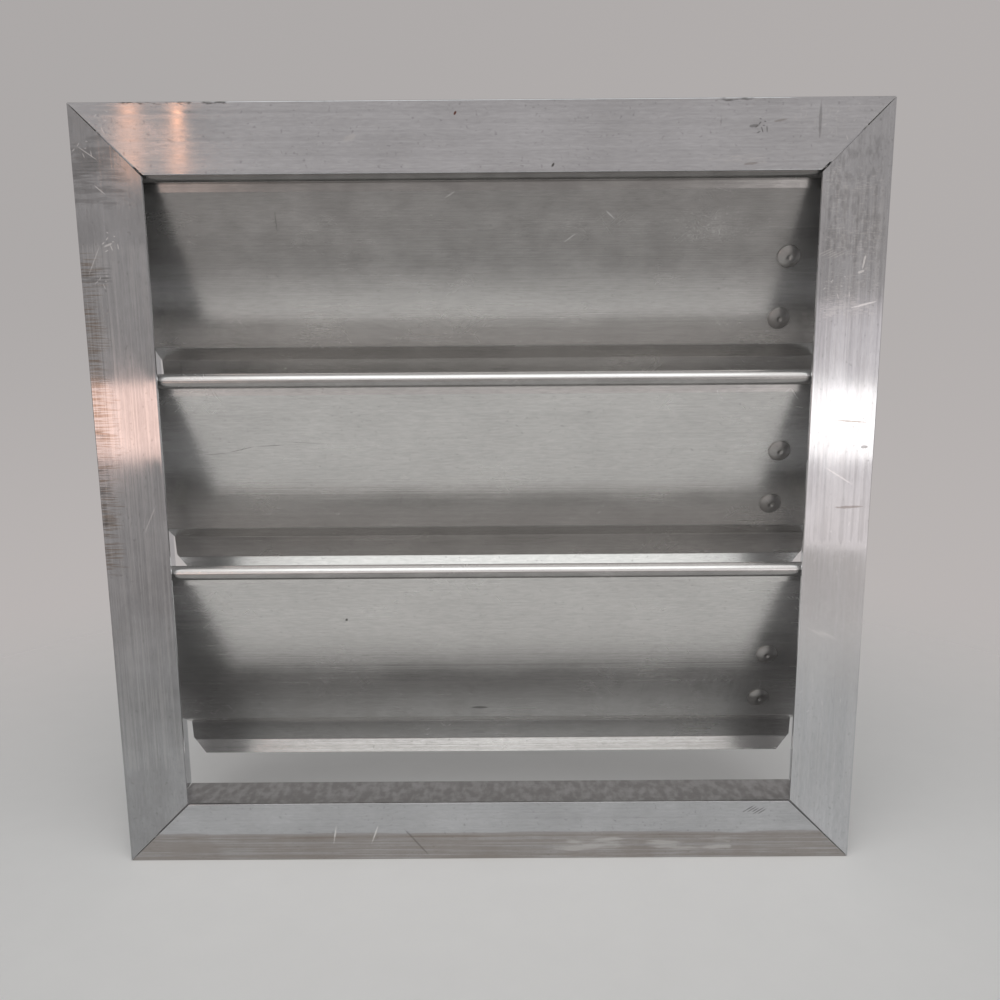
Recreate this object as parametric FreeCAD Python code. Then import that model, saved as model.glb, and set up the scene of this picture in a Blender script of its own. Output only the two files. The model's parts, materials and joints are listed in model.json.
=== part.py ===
import FreeCAD, Part
import math
import os

# Gravity backdraft damper for a square duct: a mitred flange frame and three linked folding blades.
# Millimetres. +X runs along the blade hinges, +Y points into the duct, +Z is up.
# The origin is the centre of the opening, on the plane where the flange seats on the duct's end.

# Frame extrusion
DUCT_SIZE = 304.8
DUCT_UNDERSIZE = 6.35
FLANGE_OVERLAP = 9.525
FLANGE_FACE_WIDTH = 26.8
FLANGE_THICKNESS = 1.6
FRAME_WALL = 1.6
FRAME_DEPTH = 50.8
EDGE_ROUNDING = 0.4
MITRE_GAP_INNER = 0.62
MITRE_GAP_OUTER = 0.2
CUT_MARGIN = 1.0

# Key slot behind the flange's outer edge, and the flat corner keys in it
KEY_THICKNESS = 1.6
KEY_LEG = 35.0
KEY_LEAD = 1.5
KEY_CLEARANCE = 0.1
SLOT_RIM = 1.4
HOOK_THICKNESS = 1.2
HOOK_REACH = 2.0

# Blade pivots
BLADES = ("top", "middle", "bottom")
PIVOT_ABOVE_OPENING = 1.04
OPENING_BELOW_BLADES = 22.15
PIVOT_BEHIND_FACE = 6.4
REST_OPENING_DEG = 22.2
ROD_RADIUS = 2.38
BUSHING_RUNNING_CLEARANCE = 0.07
BUSHING_WALL = 0.85
BUSHING_SEAT_CLEARANCE = 0.03
COLLAR_STEP = 0.8
COLLAR_THICKNESS = 1.0
BLADE_END_PLAY = 0.42

# Blade sheet, folded from one blank
SHEET = 0.64
CURL_CLEARANCE = 0.02
CURL_WRAP_DEG = 285.0
NECK_LENGTH = 6.5
NECK_TURN_DEG = 14.0
BEND_RADIUS = 1.3
BEND_ABOVE_NEXT_PIVOT = 8.81
BEND_ABOVE_OPENING_EDGE = 17.38
JOG_LENGTH = 11.2
JOG_TURN_DEG = 36.9
LIP_LENGTH = 10.15
LIP_TURN_DEG = 51.6
LIP_LEFT_CUTBACK = 1.3
TOE_LENGTH = 6.45
TOE_TURN_DEG = 37.8
TOE_CORNER = 5.9

# Rivets, and the link clip that they hold behind each blade
RIVET_FROM_BLADE_END = 20.1
RIVET_ABOVE_BEND = 10.2
RIVET_SPACING = 27.0
RIVET_RADIUS = 2.4
RIVET_HOLE_CLEARANCE = 0.05
RIVET_HEAD_RADIUS = 4.75
RIVET_HEAD_HEIGHT = 1.5
RIVET_HEAD_RIM = 0.5
RIVET_DIMPLE_RADIUS = 1.2
RIVET_DIMPLE_DEPTH = 0.35
RIVET_TAIL_RADIUS = 3.4
RIVET_TAIL_HEIGHT = 1.6
RIVET_TAIL_TAPER = 0.9
CLIP_SHEET = 1.2
CLIP_BEND_RADIUS = 1.0
CLIP_WIDTH = 17.4
CLIP_END_MARGIN = 7.0
EAR_ROOT_HEIGHT = 5.0
EAR_BELOW_BEND = 2.0
EAR_BOSS_RADIUS = 3.6
EAR_JOG_CLEARANCE = 1.0

# Tie bar and its pins
CRANK_BELOW_BEND = 26.0
BAR_HALF_WIDTH = 3.0
BAR_THICKNESS = 2.0
BAR_SIDE_CLEARANCE = 0.3
PIN_RADIUS = 1.6
PIN_HEAD_RADIUS = 2.9
PIN_HEAD_THICKNESS = 1.2
PIN_EAR_CLEARANCE = 0.02
PIN_RUNNING_CLEARANCE = 0.05
OPEN_PIN_CLEARANCE = 0.25

# Places that follow from the sizes above
BODY_HALF = (DUCT_SIZE - DUCT_UNDERSIZE) / 2
WALL_INNER = BODY_HALF - FRAME_WALL
FLANGE_HALF = BODY_HALF + FLANGE_OVERLAP
OPENING_HALF = FLANGE_HALF - FLANGE_FACE_WIDTH
RIM_INNER = FLANGE_HALF - SLOT_RIM
HOOK_Y = -HOOK_THICKNESS
SLOT_Y = HOOK_Y - KEY_THICKNESS - 2 * KEY_CLEARANCE
FACE_Y = SLOT_Y - FLANGE_THICKNESS
REAR_Y = FACE_Y + FRAME_DEPTH
PIVOT_Y = FACE_Y + PIVOT_BEHIND_FACE
BLADE_PITCH = (2 * OPENING_HALF + PIVOT_ABOVE_OPENING - OPENING_BELOW_BLADES) / len(BLADES)
PIVOT_Z = [OPENING_HALF + PIVOT_ABOVE_OPENING - BLADE_PITCH * index for index in range(len(BLADES))]
BUSHING_BORE = ROD_RADIUS + BUSHING_RUNNING_CLEARANCE
BUSHING_RADIUS = BUSHING_BORE + BUSHING_WALL
COLLAR_RADIUS = BUSHING_RADIUS + COLLAR_STEP
BLADE_HALF = WALL_INNER - COLLAR_THICKNESS - BLADE_END_PLAY
CURL_RADIUS = ROD_RADIUS + CURL_CLEARANCE + SHEET / 2
NECK_TILT = math.radians(NECK_TURN_DEG)
FACE_START = (NECK_LENGTH * math.cos(NECK_TILT)
              + (BEND_RADIUS - CURL_RADIUS) * math.sin(NECK_TILT))
FACE_BEHIND = ((BEND_RADIUS + CURL_RADIUS) * math.cos(NECK_TILT) - BEND_RADIUS
               - NECK_LENGTH * math.sin(NECK_TILT))
FACE_BACK = FACE_BEHIND + SHEET / 2
JOG_DEG = JOG_TURN_DEG
LIP_DEG = JOG_DEG - LIP_TURN_DEG
TOE_DEG = LIP_DEG - TOE_TURN_DEG
JOG_RISE = JOG_LENGTH * math.sin(math.radians(JOG_DEG))
RIVET_X = BLADE_HALF - RIVET_FROM_BLADE_END
CLIP_OUTER_X = RIVET_X + CLIP_WIDTH / 2
BAR_X = CLIP_OUTER_X + BAR_SIDE_CLEARANCE
PIN_HEAD_X = BAR_X + BAR_THICKNESS + BAR_SIDE_CLEARANCE
CRANK_ALONG = BLADE_PITCH - BEND_ABOVE_NEXT_PIVOT + CRANK_BELOW_BEND
CRANK_BEHIND = FACE_BACK + JOG_RISE + EAR_JOG_CLEARANCE + EAR_BOSS_RADIUS
ORIGIN = FreeCAD.Vector(0, 0, 0)
AXIS_X = FreeCAD.Vector(1, 0, 0)
AXIS_Y = FreeCAD.Vector(0, 1, 0)


def polygon(points):
    """Flat face inside a closed outline of corners."""
    corners = list(points)
    return Part.Face(Part.makePolygon(corners + corners[:1]))


def section_corners():
    """Corners of the frame's section: height above the duct's axis, and depth into the duct."""
    hook_inner = RIM_INNER - HOOK_REACH
    return (
        (OPENING_HALF, FACE_Y), (FLANGE_HALF, FACE_Y), (FLANGE_HALF, 0), (hook_inner, 0),
        (hook_inner, HOOK_Y), (RIM_INNER, HOOK_Y), (RIM_INNER, SLOT_Y), (BODY_HALF, SLOT_Y),
        (BODY_HALF, REAR_Y), (WALL_INNER, REAR_Y), (WALL_INNER, SLOT_Y), (OPENING_HALF, SLOT_Y),
    )


def eased_corners():
    """Section corners that the extrusion rounds."""
    return (
        (OPENING_HALF, FACE_Y), (FLANGE_HALF, FACE_Y), (FLANGE_HALF, 0),
        (BODY_HALF, REAR_Y), (WALL_INNER, REAR_Y), (OPENING_HALF, SLOT_Y),
    )


def edges_along_x(solid, places):
    """Edges of a prism along X that stand at the given height and depth places."""
    chosen = []
    for height, depth in places:
        for edge in solid.Edges:
            spot = FreeCAD.Vector(edge.BoundBox.Center.x, depth, height)
            if edge.BoundBox.XLength > 0 and (edge.BoundBox.Center - spot).Length < EDGE_ROUNDING / 4:
                chosen.append(edge)
    return chosen


def mitre_x(height):
    """Where a member's mitred end stands at a height; the gap closes towards the outer corner."""
    share = (height - OPENING_HALF) / FLANGE_FACE_WIDTH
    return height - MITRE_GAP_INNER + share * (MITRE_GAP_INNER - MITRE_GAP_OUTER)


def mitre_waste(side):
    """Block beyond one mitred end of the top member."""
    low = OPENING_HALF - FLANGE_FACE_WIDTH
    high = FLANGE_HALF + FLANGE_FACE_WIDTH
    far = high + FLANGE_FACE_WIDTH
    outline = ((mitre_x(low), low), (far, low), (far, high), (mitre_x(high), high))
    face = polygon([FreeCAD.Vector(side * x, FACE_Y - CUT_MARGIN, z) for x, z in outline])
    return face.extrude(AXIS_Y * (FRAME_DEPTH + 2 * CUT_MARGIN))


def frame_member():
    """Top member: a T extrusion with a key slot behind its outer edge, mitred at both ends."""
    section = polygon([FreeCAD.Vector(-FLANGE_HALF, y, z) for z, y in section_corners()])
    member = section.extrude(AXIS_X * 2 * FLANGE_HALF)
    member = member.makeFillet(EDGE_ROUNDING, edges_along_x(member, eased_corners()))
    for side in (-1, 1):
        member = member.cut(mitre_waste(side))
    return member


def turned(shape, degrees):
    """Copy of a frame piece turned about the duct's axis."""
    copy = shape.copy()
    copy.rotate(ORIGIN, AXIS_Y, degrees)
    return copy


def side_member(side):
    """Left or right member, bored through its wall for the pivot bushings."""
    member = turned(frame_member(), 90 * side)
    depth = FRAME_WALL + 2 * CUT_MARGIN
    for height in PIVOT_Z:
        start = FreeCAD.Vector(side * (WALL_INNER - CUT_MARGIN), PIVOT_Y, height)
        bore = Part.makeCylinder(BUSHING_RADIUS + BUSHING_SEAT_CLEARANCE, depth, start, AXIS_X * side)
        member = member.cut(bore)
    return member


def corner_key():
    """Flat angle that joins the top and right members behind their mitre."""
    low = BODY_HALF + KEY_CLEARANCE
    high = RIM_INNER - KEY_CLEARANCE
    end = high - KEY_LEG
    outline = (
        (end, low + KEY_LEAD), (end + KEY_LEAD, low), (low, low), (low, end + KEY_LEAD),
        (low + KEY_LEAD, end), (high - KEY_LEAD, end), (high, end + KEY_LEAD), (high, high - KEY_LEAD),
        (high - KEY_LEAD, high), (end + KEY_LEAD, high), (end, high - KEY_LEAD),
    )
    key = polygon([FreeCAD.Vector(x, SLOT_Y + KEY_CLEARANCE, z) for x, z in outline])
    return key.extrude(AXIS_Y * KEY_THICKNESS)


def bushing(side, height):
    """Plain bearing pressed into the side wall from inside, its collar against the wall."""
    seat = FreeCAD.Vector(side * WALL_INNER, PIVOT_Y, height)
    collar_face = seat - AXIS_X * side * COLLAR_THICKNESS
    collar = Part.makeCylinder(COLLAR_RADIUS, COLLAR_THICKNESS, collar_face, AXIS_X * side)
    barrel = Part.makeCylinder(BUSHING_RADIUS, FRAME_WALL, seat, AXIS_X * side)
    bore = Part.makeCylinder(BUSHING_BORE, COLLAR_THICKNESS + FRAME_WALL, collar_face, AXIS_X * side)
    return collar.fuse(barrel).cut(bore)


def blade_point(along, behind, x=0.0):
    """Point in blade axes: along the hanging blade from its pivot, behind the pivot, and sideways."""
    return FreeCAD.Vector(x, behind, -along)


def heading(degrees):
    """Unit direction in blade axes: zero runs down the face, positive turns towards the rear."""
    angle = math.radians(degrees)
    return blade_point(math.cos(angle), math.sin(angle))


def swung(shape, index):
    """Copy of a piece moved from blade axes to its pivot and swung to the rest opening."""
    copy = shape.copy()
    copy.rotate(ORIGIN, AXIS_X, REST_OPENING_DEG)
    copy.translate(FreeCAD.Vector(0, PIVOT_Y, PIVOT_Z[index]))
    return copy


def bend_trim(turn):
    """Length that a bend takes from each of the two runs beside it."""
    return BEND_RADIUS * math.tan(math.radians(turn) / 2)


def bend_along(index):
    """Distance from a blade's pivot to the bend below its flat face."""
    if index == len(BLADES) - 1:
        return PIVOT_Z[index] + OPENING_HALF - BEND_ABOVE_OPENING_EDGE
    return BLADE_PITCH - BEND_ABOVE_NEXT_PIVOT


def blade_moves(index):
    """A blade's runs (length, no turn) and bends (radius, turn) from the curl's free edge to the toe."""
    jog_trim = bend_trim(JOG_TURN_DEG)
    lip_trim = bend_trim(LIP_TURN_DEG)
    toe_trim = bend_trim(TOE_TURN_DEG)
    return (
        (CURL_RADIUS, -CURL_WRAP_DEG), (NECK_LENGTH, 0), (BEND_RADIUS, NECK_TURN_DEG),
        (bend_along(index) - FACE_START - jog_trim, 0), (BEND_RADIUS, JOG_TURN_DEG),
        (JOG_LENGTH - jog_trim - lip_trim, 0), (BEND_RADIUS, -LIP_TURN_DEG),
        (LIP_LENGTH - lip_trim - toe_trim, 0), (BEND_RADIUS, -TOE_TURN_DEG),
        (TOE_LENGTH - toe_trim, 0),
    )


def strip_edge(place, angle, size, turn, side):
    """One surface of a run or bend, half a sheet away from its middle line."""
    half = SHEET / 2 * side
    first = place + heading(angle + 90) * half
    if turn == 0:
        return Part.LineSegment(first, first + heading(angle) * size)
    centre = place + heading(angle + math.copysign(90, turn)) * size
    middle = centre + FreeCAD.Rotation(AXIS_X, turn / 2).multVec(first - centre)
    last = centre + FreeCAD.Rotation(AXIS_X, turn).multVec(first - centre)
    return Part.Arc(first, middle, last)


def folded_section(start, angle, moves):
    """Section of a folded strip, walked along its middle line from the start point and heading."""
    rear = []
    front = []
    place = start
    for size, turn in moves:
        rear.append(strip_edge(place, angle, size, turn, 1))
        front.append(strip_edge(place, angle, size, turn, -1))
        angle += turn
        place = (rear[-1].EndPoint + front[-1].EndPoint) * 0.5
    edges = [curve.toShape() for curve in rear + front]
    edges.append(Part.makeLine(rear[0].StartPoint, front[0].StartPoint))
    edges.append(Part.makeLine(rear[-1].EndPoint, front[-1].EndPoint))
    return Part.Face(Part.Wire(Part.__sortEdges__(edges)))


def lip_end(side):
    """Sideways place where the jog, lip and toe end; the left end is cut back from the face's end."""
    if side < 0:
        return LIP_LEFT_CUTBACK - BLADE_HALF
    return BLADE_HALF


def lip_cutback(index):
    """Block that shortens the jog, lip and toe at the left end."""
    below = JOG_LENGTH + LIP_LENGTH + TOE_LENGTH
    start = blade_point(bend_along(index) + BEND_RADIUS + below, -below, -BLADE_HALF - CUT_MARGIN)
    return Part.makeBox(LIP_LEFT_CUTBACK + CUT_MARGIN, 2 * below, below, start)


def toe_corner(index, side):
    """Prism that clips one lower corner of the toe at an angle."""
    root = blade_point(bend_along(index), FACE_BEHIND, lip_end(side))
    root = root + heading(JOG_DEG) * JOG_LENGTH + heading(LIP_DEG) * LIP_LENGTH
    down = heading(TOE_DEG) * TOE_LENGTH
    inward = AXIS_X * -side * TOE_CORNER
    through = heading(TOE_DEG + 90) * 2 * BEND_RADIUS
    corners = (root - through, root + (down + inward) * 2 - through, root + (down - inward) * 2 - through)
    return polygon(corners).extrude(through * 2)


def rivet_places(index):
    """Distances along a blade of its two rivets."""
    lower = bend_along(index) - RIVET_ABOVE_BEND
    return (lower - RIVET_SPACING, lower)


def rivet_hole(along):
    """Drilling for one rivet through the blade's face and the clip behind it."""
    start = blade_point(along, FACE_BEHIND - SHEET, RIVET_X)
    return Part.makeCylinder(RIVET_RADIUS + RIVET_HOLE_CLEARANCE, 2 * SHEET + 2 * CLIP_SHEET, start, AXIS_Y)


def blade(index):
    """One blade: curled round its rod, flat, then jogged back to pass behind the blade below."""
    start_angle = CURL_WRAP_DEG - NECK_TURN_DEG
    section = folded_section(heading(start_angle + 90) * CURL_RADIUS, start_angle, blade_moves(index))
    section.translate(AXIS_X * -BLADE_HALF)
    solid = section.extrude(AXIS_X * 2 * BLADE_HALF).cut(lip_cutback(index))
    for side in (-1, 1):
        solid = solid.cut(toe_corner(index, side))
    for along in rivet_places(index):
        solid = solid.cut(rivet_hole(along))
    return solid


def pivot_rod():
    """Hinge rod inside a blade's curl, ending flush with the frame's outer walls."""
    return Part.makeCylinder(ROD_RADIUS, 2 * BODY_HALF, AXIS_X * -BODY_HALF, AXIS_X)


def rivet(along):
    """Domed rivet: a rimmed head with a dimple on the blade's face, and its tail behind the clip."""
    grip = SHEET + CLIP_SHEET
    tail = grip + RIVET_TAIL_HEIGHT
    rim = FreeCAD.Vector(RIVET_HEAD_RADIUS, -RIVET_HEAD_RIM, 0)
    crown = FreeCAD.Vector(RIVET_DIMPLE_RADIUS, -RIVET_HEAD_HEIGHT, 0)
    crest = (rim + crown) * 0.5 - AXIS_Y * RIVET_HEAD_RIM / 2
    tip_radius = RIVET_TAIL_RADIUS - RIVET_TAIL_TAPER
    outline = (
        (0, RIVET_DIMPLE_DEPTH - RIVET_HEAD_HEIGHT), (0, tail), (tip_radius, tail),
        (RIVET_TAIL_RADIUS, grip), (RIVET_RADIUS, grip), (RIVET_RADIUS, 0), (RIVET_HEAD_RADIUS, 0),
    )
    points = [crown] + [FreeCAD.Vector(radius, depth, 0) for radius, depth in outline] + [rim]
    edges = [Part.makeLine(first, second) for first, second in zip(points, points[1:])]
    edges.append(Part.Arc(rim, crest, crown).toShape())
    solid = Part.Face(Part.Wire(edges)).revolve(ORIGIN, AXIS_Y, 360)
    solid.translate(blade_point(along, FACE_BEHIND - SHEET / 2, RIVET_X))
    return solid


def blade_rivets(index):
    """Both rivets of one blade."""
    return Part.makeCompound([rivet(along) for along in rivet_places(index)])


def clip_angle(top, foot):
    """Folded angle section behind a blade, longer and taller than the finished clip."""
    inner_x = CLIP_OUTER_X - CLIP_WIDTH
    ear_x = CLIP_OUTER_X - CLIP_SHEET
    crown = CRANK_BEHIND + 2 * EAR_BOSS_RADIUS
    base_top = FACE_BACK + CLIP_SHEET
    outline = (
        (inner_x, FACE_BACK), (CLIP_OUTER_X, FACE_BACK), (CLIP_OUTER_X, crown), (ear_x, crown),
        (ear_x, base_top), (inner_x, base_top),
    )
    section = polygon([blade_point(top, behind, x) for x, behind in outline])
    solid = section.extrude(blade_point(foot - top, 0))
    inner = [edge for edge in solid.Edges if edge_stands_at(edge, ear_x, base_top)]
    solid = solid.makeFillet(CLIP_BEND_RADIUS, inner)
    outer = [edge for edge in solid.Edges if edge_stands_at(edge, CLIP_OUTER_X, FACE_BACK)]
    return solid.makeFillet(CLIP_BEND_RADIUS + CLIP_SHEET, outer)


def edge_stands_at(edge, x, behind):
    """Whether an edge runs along the blade at a sideways place and a distance behind the pivot."""
    spot = FreeCAD.Vector(x, behind, edge.BoundBox.Center.z)
    return edge.BoundBox.ZLength > CLIP_WIDTH and (edge.BoundBox.Center - spot).Length < SHEET / 10


def clip_outline(index):
    """Side view of a clip: its base on the blade, and an ear bowed behind the jog to the pin."""
    upper, lower = rivet_places(index)
    top = upper - CLIP_END_MARGIN
    foot = lower + CLIP_END_MARGIN
    boss_front = CRANK_BEHIND - EAR_BOSS_RADIUS
    boss_back = CRANK_BEHIND + EAR_BOSS_RADIUS
    base_back = FACE_BACK + CLIP_SHEET
    base = ((top, FACE_BACK), (foot, FACE_BACK), (foot, base_back), (top, base_back))
    ear = (
        (top, FACE_BACK), (foot, FACE_BACK), (bend_along(index) + EAR_BELOW_BEND, boss_front),
        (CRANK_ALONG, boss_front), (CRANK_ALONG, boss_back), (top, FACE_BACK + EAR_ROOT_HEIGHT),
    )
    pin = blade_point(CRANK_ALONG, CRANK_BEHIND)
    boss = Part.Face(Part.Wire(Part.makeCircle(EAR_BOSS_RADIUS, pin, AXIS_X)))
    faces = [polygon([blade_point(*corner) for corner in outline]) for outline in (base, ear)]
    return [face.extrude(AXIS_X * BLADE_HALF) for face in faces + [boss]]


def pin_hole(clearance, start_x, length):
    """Hole for a link pin in blade axes."""
    start = blade_point(CRANK_ALONG, CRANK_BEHIND, start_x)
    return Part.makeCylinder(PIN_RADIUS + clearance, length, start, AXIS_X)


def link_clip(index):
    """Folded clip that two rivets hold behind a blade; its ear carries the tie bar's pin."""
    top = rivet_places(index)[0] - CLIP_END_MARGIN
    base, ear, boss = clip_outline(index)
    keep = base.fuse([ear, boss])
    solid = clip_angle(top, CRANK_ALONG + 2 * EAR_BOSS_RADIUS).common(keep)
    for along in rivet_places(index):
        solid = solid.cut(rivet_hole(along))
    solid = solid.cut(pin_hole(PIN_EAR_CLEARANCE, CLIP_OUTER_X - 2 * CLIP_SHEET, 3 * CLIP_SHEET))
    return solid.removeSplitter().Solids[0]


def link_pin():
    """Headed pin through a clip's ear and the tie bar, set over inside the ear."""
    tail_x = CLIP_OUTER_X - CLIP_SHEET - PIN_HEAD_THICKNESS
    tail = Part.makeCylinder(PIN_HEAD_RADIUS, PIN_HEAD_THICKNESS, blade_point(0, 0, tail_x), AXIS_X)
    shank = Part.makeCylinder(PIN_RADIUS, PIN_HEAD_X - tail_x, blade_point(0, 0, tail_x), AXIS_X)
    head = Part.makeCylinder(PIN_HEAD_RADIUS, PIN_HEAD_THICKNESS, blade_point(0, 0, PIN_HEAD_X), AXIS_X)
    pin = tail.fuse([shank, head]).removeSplitter()
    pin.translate(blade_point(CRANK_ALONG, CRANK_BEHIND))
    return pin


def crank_place(index):
    """Centre of a blade's link pin at rest, beside the tie bar."""
    arm = FreeCAD.Rotation(AXIS_X, REST_OPENING_DEG).multVec(blade_point(CRANK_ALONG, CRANK_BEHIND))
    return arm + FreeCAD.Vector(BAR_X, PIVOT_Y, PIVOT_Z[index])


def tie_bar():
    """Flat bar with round ends that joins the three link pins."""
    places = [crank_place(index) for index in range(len(BLADES))]
    side = AXIS_Y * BAR_HALF_WIDTH
    flat = polygon([places[0] + side, places[0] - side, places[-1] - side, places[-1] + side])
    bar = flat.extrude(AXIS_X * BAR_THICKNESS)
    for place in (places[0], places[-1]):
        bar = bar.fuse(Part.makeCylinder(BAR_HALF_WIDTH, BAR_THICKNESS, place, AXIS_X))
    bar = bar.removeSplitter()
    for index, place in enumerate(places):
        clearance = PIN_RUNNING_CLEARANCE if index == 0 else OPEN_PIN_CLEARANCE
        bar = bar.cut(Part.makeCylinder(PIN_RADIUS + clearance, BAR_THICKNESS, place, AXIS_X))
    return bar


def frame_nodes():
    """Frame members, corner keys and pivot bushings by node name."""
    nodes = {
        "frame_top": frame_member(),
        "frame_bottom": turned(frame_member(), 180),
        "frame_left": side_member(-1),
        "frame_right": side_member(1),
    }
    for quarter, corner in enumerate(("top_right", "bottom_right", "bottom_left", "top_left")):
        nodes["corner_key_" + corner] = turned(corner_key(), 90 * quarter)
    for name, height in zip(BLADES, PIVOT_Z):
        nodes["pivot_bushing_" + name + "_left"] = bushing(-1, height)
        nodes["pivot_bushing_" + name + "_right"] = bushing(1, height)
    return nodes


def blade_nodes():
    """Blades with their rods, rivets, clips and pins, and the tie bar, by node name."""
    nodes = {"tie_bar": tie_bar()}
    for index, name in enumerate(BLADES):
        nodes["blade_" + name] = swung(blade(index), index)
        nodes["pivot_rod_" + name] = swung(pivot_rod(), index)
        nodes["blade_rivets_" + name] = swung(blade_rivets(index), index)
        nodes["link_clip_" + name] = swung(link_clip(index), index)
        nodes["link_pin_" + name] = swung(link_pin(), index)
    return nodes


os.makedirs("parts", exist_ok=True)
for node, shape in {**frame_nodes(), **blade_nodes()}.items():
    shape.exportStep(os.path.join("parts", node + ".step"))
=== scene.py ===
import json
import logging
import math
from dataclasses import dataclass, replace
from enum import Enum
from typing import Union

import bpy
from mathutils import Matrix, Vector


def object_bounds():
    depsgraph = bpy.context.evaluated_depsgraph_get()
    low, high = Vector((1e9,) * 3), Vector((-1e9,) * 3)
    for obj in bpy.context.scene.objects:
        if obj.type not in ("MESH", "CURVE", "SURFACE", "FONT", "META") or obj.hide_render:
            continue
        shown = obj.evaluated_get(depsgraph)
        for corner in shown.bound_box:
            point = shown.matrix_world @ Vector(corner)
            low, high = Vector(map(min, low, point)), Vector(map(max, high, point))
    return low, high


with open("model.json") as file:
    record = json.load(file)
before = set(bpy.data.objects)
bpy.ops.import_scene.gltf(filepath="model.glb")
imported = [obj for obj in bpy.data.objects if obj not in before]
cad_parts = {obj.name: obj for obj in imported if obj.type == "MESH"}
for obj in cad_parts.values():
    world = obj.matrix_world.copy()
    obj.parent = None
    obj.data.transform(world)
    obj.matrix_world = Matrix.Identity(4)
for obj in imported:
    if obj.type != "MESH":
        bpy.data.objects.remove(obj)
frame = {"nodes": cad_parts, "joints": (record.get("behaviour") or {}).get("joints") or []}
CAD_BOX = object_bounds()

LOGGER = logging.getLogger("damper")
MILLIMETRE = 0.001
BLADE_PLACES = ("top", "middle", "bottom")

# hinge heights in millimetres by joint
HINGE_HEIGHTS = {joint["name"]: joint["pos_m"][2] / MILLIMETRE for joint in frame["joints"]}

# sockets of a Mix node that mixes colours
MIX_FACTOR, MIX_FIRST, MIX_SECOND, MIX_RESULT = 0, 6, 7, 2

# features per metre of the patterns that don't follow a grain
RAGGED_EDGE = 900.0
BLOTCH = 70.0
HAZE = 90.0
PIT = 800.0
DENT = 420.0
SCRATCH_GROUP = 45.0
SCRATCH = (110.0, 60.0, 3000.0)
DUST_AND_SHADE_FLAKE = (330.0, 160.0, 330.0)
MOULD_FLOW = 300.0
FLOOR_CLOUD = 60.0

Number = Union[int, float]
Colour = tuple[float, float, float]


class Grain(Enum):
    """Direction of the drawing or rolling lines on a metal surface."""

    ALONG_X = (1.0, 0.0, 0.0)
    ALONG_Z = (0.0, 0.0, 1.0)

    def stretch(self, along: float, across: float) -> tuple[float, float, float]:
        """Gives the scale of a pattern that runs with the grain.

        Args:
            along: Features per metre along the grain.
            across: Features per metre across the grain.

        Returns:
            Scale for each axis.
        """
        return tuple(along if part else across for part in self.value)


class Tone(Enum):
    """Kind of mark on a surface, as its colour; the dark, brown and bright ones also serve as painted shade,
    a painted reflection and painted highlights.
    """

    DARK = (0.09, 0.085, 0.08)
    BROWN = (0.24, 0.19, 0.15)
    RUST = (0.16, 0.05, 0.03)
    BRIGHT = (0.92, 0.91, 0.9)
    PALE = (0.72, 0.71, 0.7)
    # colour of dust, also used as painted shade on the frame's bottom wall
    DUST_AND_SHADE = (0.25, 0.245, 0.235)
    # near-black painted shade for the mitre gaps
    MITRE_GAP_SHADE = (0.03, 0.03, 0.03)


class Signal:
    """A shader's scalar output, combined with plain arithmetic operators."""

    def __init__(self, shader: "Shader", socket: bpy.types.NodeSocket) -> None:
        """Wraps one socket.

        Args:
            shader: Shader that owns the socket.
            socket: Output socket that carries the value.
        """
        self.shader = shader
        self.socket = socket

    def combine(self, operation: str, first: "Value", second: "Value" = 0.0) -> "Signal":
        """Adds one Math node.

        Args:
            operation: Name of the Math node's operation.
            first: First operand.
            second: Second operand.

        Returns:
            Result of the operation.
        """
        return self.shader.add("ShaderNodeMath", {"operation": operation}, {0: first, 1: second})

    def __add__(self, other: "Value") -> "Signal":
        """Adds a value.

        Args:
            other: Right operand.

        Returns:
            The sum.
        """
        return self.combine("ADD", self, other)

    __radd__ = __add__

    def __sub__(self, other: "Value") -> "Signal":
        """Subtracts a value.

        Args:
            other: Right operand.

        Returns:
            The difference.
        """
        return self.combine("SUBTRACT", self, other)

    def __rsub__(self, other: "Value") -> "Signal":
        """Subtracts this signal from a value.

        Args:
            other: Left operand.

        Returns:
            The difference.
        """
        return self.combine("SUBTRACT", other, self)

    def __mul__(self, other: "Value") -> "Signal":
        """Multiplies by a value.

        Args:
            other: Right operand.

        Returns:
            The product.
        """
        return self.combine("MULTIPLY", self, other)

    __rmul__ = __mul__

    def __or__(self, other: "Value") -> "Signal":
        """Takes the larger of two masks.

        Args:
            other: Right operand.

        Returns:
            The larger value.
        """
        return self.combine("MAXIMUM", self, other)

    def ramp(self, low: Number, high: Number) -> "Signal":
        """Rises smoothly from 0 to 1 between two values.

        Args:
            low: Value that gives 0.
            high: Value that gives 1.

        Returns:
            Smooth mask from 0 to 1.
        """
        sockets = {"Value": self, "From Min": low, "From Max": high}
        return self.shader.add("ShaderNodeMapRange", {"interpolation_type": "SMOOTHSTEP"}, sockets)


Value = Union[Signal, Number]
Anything = Union[Signal, Number, tuple]


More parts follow.
